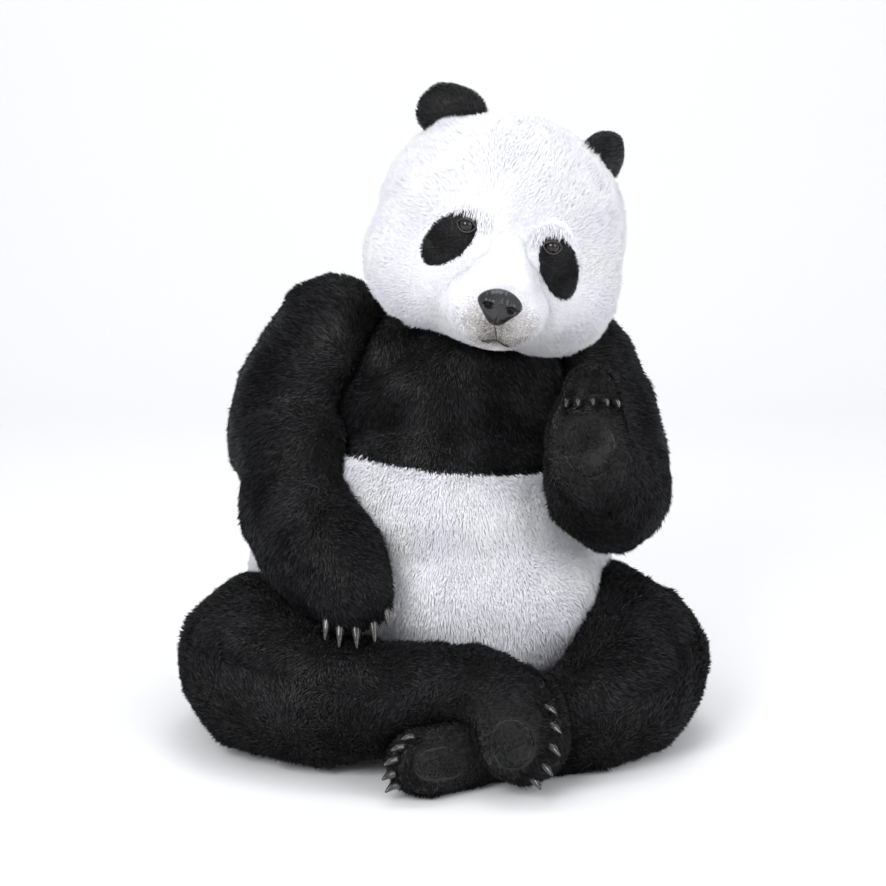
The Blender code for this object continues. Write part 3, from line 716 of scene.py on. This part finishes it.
def small_pile(name, skin, body, slot, tones, length, start=None, density=1.2, **looks):
    flow = skin.flow_from(start) if start is not None else tangential(
        np.tile([0.0, 0.0, -1.0], (len(skin.points), 1)), skin.normals)
    pile = Pile(skin, flow, density)
    pile.length[:] = length
    pile.toned(len(tones), 0.03, 0.8, 19, 0.15)
    planted(name, body, slot, tones, pile, **looks)


def airbrushed(own):
    """How dark the soft shade below the nose is, at points in the head's own frame."""
    across, up = (own[:, 0] - NOSE_AT[0] - 0.007) / 0.038, own[:, 2]
    shade = 0.70 * np.exp(-(across ** 2 + ((up + 0.077) / 0.027) ** 2))
    shade += 0.40 * np.exp(-((across * 1.6) ** 2 + ((up - MOUTH_Z) / 0.007) ** 2))
    return shade * np.clip((-0.12 - own[:, 1]) / 0.02, 0, 1)


def muzzle_skin():
    """The muzzle's backing, which took the airbrush too."""
    piece = body_skin("muzzle", muzzle, "head", "muzzle_fur", WHITE_CLOTH, "muzzle")
    for cloth_tone in SHADED_CLOTHS:
        piece.data.materials.append(cloth_tone)
    shade = airbrushed(in_head(muzzle.points))[muzzle.faces].mean(axis=1)
    steps = np.clip(np.floor((shade - 0.04) * 8), 0, len(SHADED_CLOTHS)).astype(np.int32)
    piece.data.polygons.foreach_set("material_index", steps)


def muzzle_pile():
    pile = Pile(muzzle, muzzle.flow_from(out_of_head((NOSE_AT[0], -0.215, -0.034))), 2.0)
    pile.only((pile.away_from("nose") > NOSE_CLEAR) & (in_head(pile.root)[:, 1] < -0.08))
    own = in_head(pile.root)
    pile.length[:] = SHORT
    pile.lean[:] = 0.95
    pile.toned(4, 0.03, 0.8, 23)
    shade = airbrushed(own)
    value = 3.1 * shade + 1.1 * (RNG.random(len(own)) - 0.5) * np.clip(shade * 5, 0, 1)
    painted = value > 0.30
    pile.tone[painted] = 3 + np.clip(np.ceil(value[painted]), 1, 3)
    planted("muzzle_fur", "head", "muzzle_fur", WHITE_TONES + BROWN_TONES, pile,
            clump=0.2, ruffle=0.2, width=FINE_HAIR)


def patch_pile(side):
    patch = Skin([f"eye_patch_{side}"], smooth=2, fullness=0.0008, voxel=0.0022, seed=29)
    piece = shown(f"eye_patch_{side}_cloth", mesh_of(f"eye_patch_{side}_cloth", patch.points, patch.faces),
                  "head", "short_black_fur", BLACK_CLOTH)
    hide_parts(f"eye_patch_{side}")
    away = patch.points - head.points.mean(axis=0)
    outward = ((unit(away) * patch.normals).sum(axis=1) > 0.15).astype(float)
    pile = Pile(patch, patch.flow_from(out_of_head((0, -0.215, -0.034))), 2.2, outward)
    pile.only(np.linalg.norm(pile.root - eye_centre(side), axis=1) > PATCH_EYE_CLEAR)
    pile.length[:] = SHORT * 1.35
    pile.toned(4, 0.02, 0.6, 33, 0.12)
    planted(f"eye_patch_{side}_fur", "head", "short_black_fur", BLACK_TONES, pile,
            clump=0.2, ruffle=0.3, width=FINE_HAIR)


def sphere_points(rings, segments):
    """Points and quads of a ball with its poles on Z; the poles are rings of no size."""
    down = np.linspace(0, math.pi, rings + 1)
    around = np.linspace(0, 2 * math.pi, segments, endpoint=False)
    v, u = np.meshgrid(down, around, indexing="ij")
    points = np.stack([np.sin(v) * np.cos(u), np.sin(v) * np.sin(u), np.cos(v)], axis=-1).reshape(-1, 3)
    i, j = np.meshgrid(np.arange(rings), np.arange(segments), indexing="ij")
    a, b = i * segments + j, i * segments + (j + 1) % segments
    faces = np.stack([a, a + segments, b + segments, b], axis=-1).reshape(-1, 4)
    return points, faces


def weld_poles(piece):
    weld = piece.modifiers.new("Poles", "WELD")
    weld.merge_threshold = 0.00001


def nose_piece():
    """A rounded triangle, wide at the top, with a comma of a nostril at each side and a groove below."""
    ball, faces = sphere_points(96, 128)
    x, y, z = ball.T
    wide = 0.60 + 0.42 * (1 / (1 + np.exp(-5.0 * (z + 0.25))))
    own = np.stack([x * wide, y, z], axis=1)
    own[:, 2] = np.where(z > 0, z * (0.86 - 0.12 * x ** 2), z)
    own *= np.array(NOSE_HALF)
    front = y < 0
    for way in (-1, 1):
        slant = (own[:, 0] * way - 0.0165) + 0.35 * (own[:, 2] + 0.001)
        hole = np.exp(-((slant / 0.0062) ** 2 + ((own[:, 2] - 0.0010) / 0.0044) ** 2)) * front
        rim = np.exp(-((slant / 0.0100) ** 2 + ((own[:, 2] - 0.0075) / 0.0036) ** 2)) * front
        own[:, 1] += 0.0105 * hole - 0.0016 * rim
    groove = np.exp(-((own[:, 0] / 0.0016) ** 2)) * np.clip(-own[:, 2] / 0.012, 0, 1) * front
    own[:, 1] += 0.0022 * groove
    own[:, 1] += 0.0004 * np.sin(own[:, 0] * 900.0) * front * np.clip(own[:, 2] / 0.01, 0, 1)
    place = np.array(HEAD)
    points = (own + np.array(NOSE_AT)) @ place[:3, :3].T + place[:3, 3]
    mesh = mesh_of("nose_moulding", points, faces)
    piece = shown("nose_moulding", mesh, "head", "nose", NOSE_SKIN)
    weld_poles(piece)
    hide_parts("nose")


def tube(name, points, radius, body, material, cyclic=False):
    curve = bpy.data.curves.new(name, "CURVE")
    curve.dimensions = "3D"
    curve.bevel_depth = radius
    curve.bevel_resolution = 3
    curve.use_fill_caps = True
    line = curve.splines.new("POLY")
    line.points.add(len(points) - 1)
    line.points.foreach_set("co", np.concatenate([points, np.ones((len(points), 1))], axis=1).ravel())
    line.use_cyclic_u = cyclic
    line.use_smooth = True
    obj = bpy.data.objects.new(name, curve)
    bpy.context.scene.collection.objects.link(obj)
    curve.materials.append(material)
    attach(obj, body)


def on_muzzle(across, height, lift):
    """The point of the muzzle, or of the head, straight behind (across, height) of the head's own frame."""
    way = Vector(HEAD.to_3x3() @ Vector((0, 1, 0)))
    start = HEAD @ Vector((across, -0.30, height))
    hit, normal, _, _ = muzzle.tree.ray_cast(start, way)
    if hit is None:
        hit, normal, _, _ = head.tree.ray_cast(start, way)
    return np.array(hit + normal * lift)


def mouth():
    smile = [on_muzzle(MOUTH_X + x, MOUTH_Z + 0.003 * math.cos(x / MOUTH_HALF * math.pi), 0.0016)
             for x in np.linspace(-MOUTH_HALF, MOUTH_HALF, 25)]
    tube("mouth_line", np.array(smile), MOUTH_R, "head", MOUTH_THREAD)
    across = np.linspace(NOSE_AT[0], MOUTH_X, 12)
    height = np.linspace(NOSE_AT[2] - NOSE_HALF[2] + 0.002, MOUTH_Z + 0.003, 12)
    groove = [on_muzzle(x, z, 0.0005) for x, z in zip(across, height)]
    tube("lip_line", np.array(groove), LIP_R, "head", MOUTH_THREAD)


def eye_glass(side, pupil):
    """A dark brown iris round a black pupil, as smooth as glass."""
    recipe = Recipe(f"eye_glass_{side}", 0.03)
    away = recipe.tree.nodes.new("ShaderNodeVectorMath")
    away.operation = "DISTANCE"
    away.inputs[1].default_value = pupil
    recipe.tree.links.new(recipe.place, away.inputs[0])
    scaled = recipe.tree.nodes.new("ShaderNodeMath")
    scaled.operation = "MULTIPLY"
    scaled.inputs[1].default_value = 100.0
    recipe.tree.links.new(away.outputs["Value"], scaled.inputs[0])
    black = (0.001, 0.001, 0.001)
    recipe.coloured(scaled.outputs[0], (0.0, black), (0.34, black), (0.42, (0.016, 0.008, 0.005)),
                    (0.62, (0.008, 0.004, 0.003)), (0.74, black))
    return recipe.material


def eye(side):
    """A glass ball between two lids that meet in a corner at each side."""
    way = 1 if side == "left" else -1
    centre = eye_centre(side)
    look = np.array((HEAD.to_3x3() @ Vector((0.30 * way, -1, 0.05))).normalized())
    ball, faces = sphere_points(40, 56)
    glass = eye_glass(side, centre + look * EYE_R)
    name = f"eye_{side}_glass"
    piece = shown(name, mesh_of(name, centre + ball * EYE_R, faces), "head", "eye", glass)
    weld_poles(piece)
    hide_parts(f"eye_{side}")
    turn = np.array(HEAD.to_3x3() @ Matrix.Rotation(LID_TURN * way, 3, "Z"))
    angles = np.linspace(0, 2 * math.pi, 64, endpoint=False)
    lids = np.stack([
        LID_HALF[0] * np.cos(angles),
        -LID_DROP + 0.0040 * np.abs(np.cos(angles)) ** 2,
        LID_HALF[1] * np.sin(angles) * (1 - 0.45 * np.abs(np.cos(angles)) ** 3),
    ], axis=1) @ turn.T + centre
    tube(f"eyelid_{side}", lids, LID_R, "head", LID_SKIN, cyclic=True)


# ---------------------------------------------------------------- claws, pads and what is inside
def claws():
    for node in [node for node in NODES if node.startswith("claw_")]:
        skin = Skin([node], smooth=3, fullness=0.0009, voxel=0.0011)
        name = f"{node}_horn"
        piece = shown(name, mesh_of(name, skin.points, skin.faces), NODES[node]["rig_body"], "claw", CLAW_HORN)
        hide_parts(node)


def pads():
    for node in [node for node in NODES if node.endswith("_pad")]:
        body = NODES[node]["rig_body"]
        skin = Skin([node], smooth=2, fullness=0.0012, voxel=0.0024, seed=41)
        name = f"{node}_cloth"
        piece = shown(name, mesh_of(name, skin.points, skin.faces), body, "paw_pad", PAD_CLOTH)
        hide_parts(node)
        small_pile(f"{node}_pile", skin, body, "paw_pad", BLACK_TONES[:2], VELVET, density=1.8,
                   clump=0.25, ruffle=0.3, width=VELVET_HAIR, softness=0.8)


def inner_kind(node):
    """What an inner piece is made of, or None for a piece that shows."""
    if node.endswith("stuffing"):
        return "stuffing"
    if node in ("seat_board", "skull_frame"):
        return "plywood"
    if node in ("spine_frame", "neck_swivel", "tilt_pin") or "nut" in node or "disc" in node:
        return "steel"
    return None


def inner_parts():
    """The finish of what is hidden inside, which keeps the CAD's shape."""
    for name, node in NODES.items():
        kind = inner_kind(name)
        if kind:
            node.data.materials.clear()
            node.data.materials.append(INNER[kind])


torso_panels()
body_skin("head", head, "head", "white_fur", WHITE_CLOTH, "head_cover")
for name, skin in limbs.items():
    body_skin(name, skin, BODY_OF[name], "black_fur", BLACK_CLOTH, f"{name}_cover")
muzzle_skin()
body_skin("tail", tail, "torso", "white_fur", WHITE_CLOTH, "tail")
for side in SIDES:
    body_skin(f"ear_{side}", ears[side], "head", "black_fur", BLACK_CLOTH, f"ear_{side}", fill=0.4)

head_pile()
torso_pile()
for name in limbs:
    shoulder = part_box(f"{name}_disc") if name.startswith("arm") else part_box("seat_board")
    limb_pile(name, np.array(sum(shoulder, Vector()) / 2) + (0, 0, 0.06 if name.startswith("arm") else 0))
small_pile("tail_fur", tail, "torso", "white_fur", WHITE_TONES, LONG * 0.9)
for side in SIDES:
    small_pile(f"ear_{side}_fur", ears[side], "head", "black_fur", BLACK_TONES, MIDDLE * 0.75,
               start=head.points.mean(axis=0), clump=0.3)
    patch_pile(side)
    eye(side)
muzzle_pile()
nose_piece()
mouth()
claws()
pads()
inner_parts()


# ---------------------------------------------------------------- studio
def studio():
    material = bpy.data.materials.new("backdrop")
    material.use_nodes = True
    shader = material.node_tree.nodes["Principled BSDF"]
    shader.inputs["Base Color"].default_value = (0.92, 0.92, 0.92, 1)
    shader.inputs["Roughness"].default_value = 0.9
    profile = [(-6.0, 0.0), (2.2, 0.0)]
    profile += [(2.2 + 1.2 * math.sin(a), 1.2 - 1.2 * math.cos(a)) for a in np.linspace(0.1, math.pi / 2, 16)]
    profile += [(3.4, 5.0)]
    points = np.array([(x, y, z) for y, z in profile for x in (-6.0, 6.0)])
    faces = np.array([(2 * k, 2 * k + 1, 2 * k + 3, 2 * k + 2) for k in range(len(profile) - 1)])
    backdrop = bpy.data.objects.new("backdrop", mesh_of("backdrop", points, faces))
    backdrop.data.materials.append(material)
    bpy.context.scene.collection.objects.link(backdrop)
    world = bpy.data.worlds.new("studio")
    world.use_nodes = True
    world.node_tree.nodes["Background"].inputs["Color"].default_value = (0.93, 0.95, 1.0, 1)
    world.node_tree.nodes["Background"].inputs["Strength"].default_value = 0.76
    bpy.context.scene.world = world
    bpy.context.scene.view_settings.view_transform = "Standard"
    for name, place, size, power in (
        ("key", (-1.4, -2.8, 2.2), 1.6, 66.0),
        ("fill", (2.4, -2.2, 1.6), 2.0, 34.0),
        ("top", (0.2, 0.4, 3.2), 1.8, 26.0),
    ):
        lamp = bpy.data.lights.new(name, "AREA")
        lamp.size, lamp.energy = size, power
        obj = bpy.data.objects.new(name, lamp)
        obj.location = place
        obj.rotation_euler = (Vector((0, 0, 0.45)) - Vector(place)).to_track_quat("-Z", "Y").to_euler()
        bpy.context.scene.collection.objects.link(obj)


def camera():
    """The view from the front, a little above, 3 m away."""
    rise, distance = math.radians(11.0), 3.0
    data = bpy.data.cameras.new("camera")
    data.lens, data.sensor_width = 85.8, 36.0
    obj = bpy.data.objects.new("camera", data)
    target = Vector((0, -0.05, 0.46))
    obj.location = target + distance * Vector((0, -math.cos(rise), math.sin(rise)))
    below = 0.054
    aim = target - below * Vector((0, math.sin(rise), math.cos(rise)))
    obj.rotation_euler = (aim - obj.location).to_track_quat("-Z", "Y").to_euler()
    bpy.context.scene.collection.objects.link(obj)
    bpy.context.scene.camera = obj


studio()
camera()
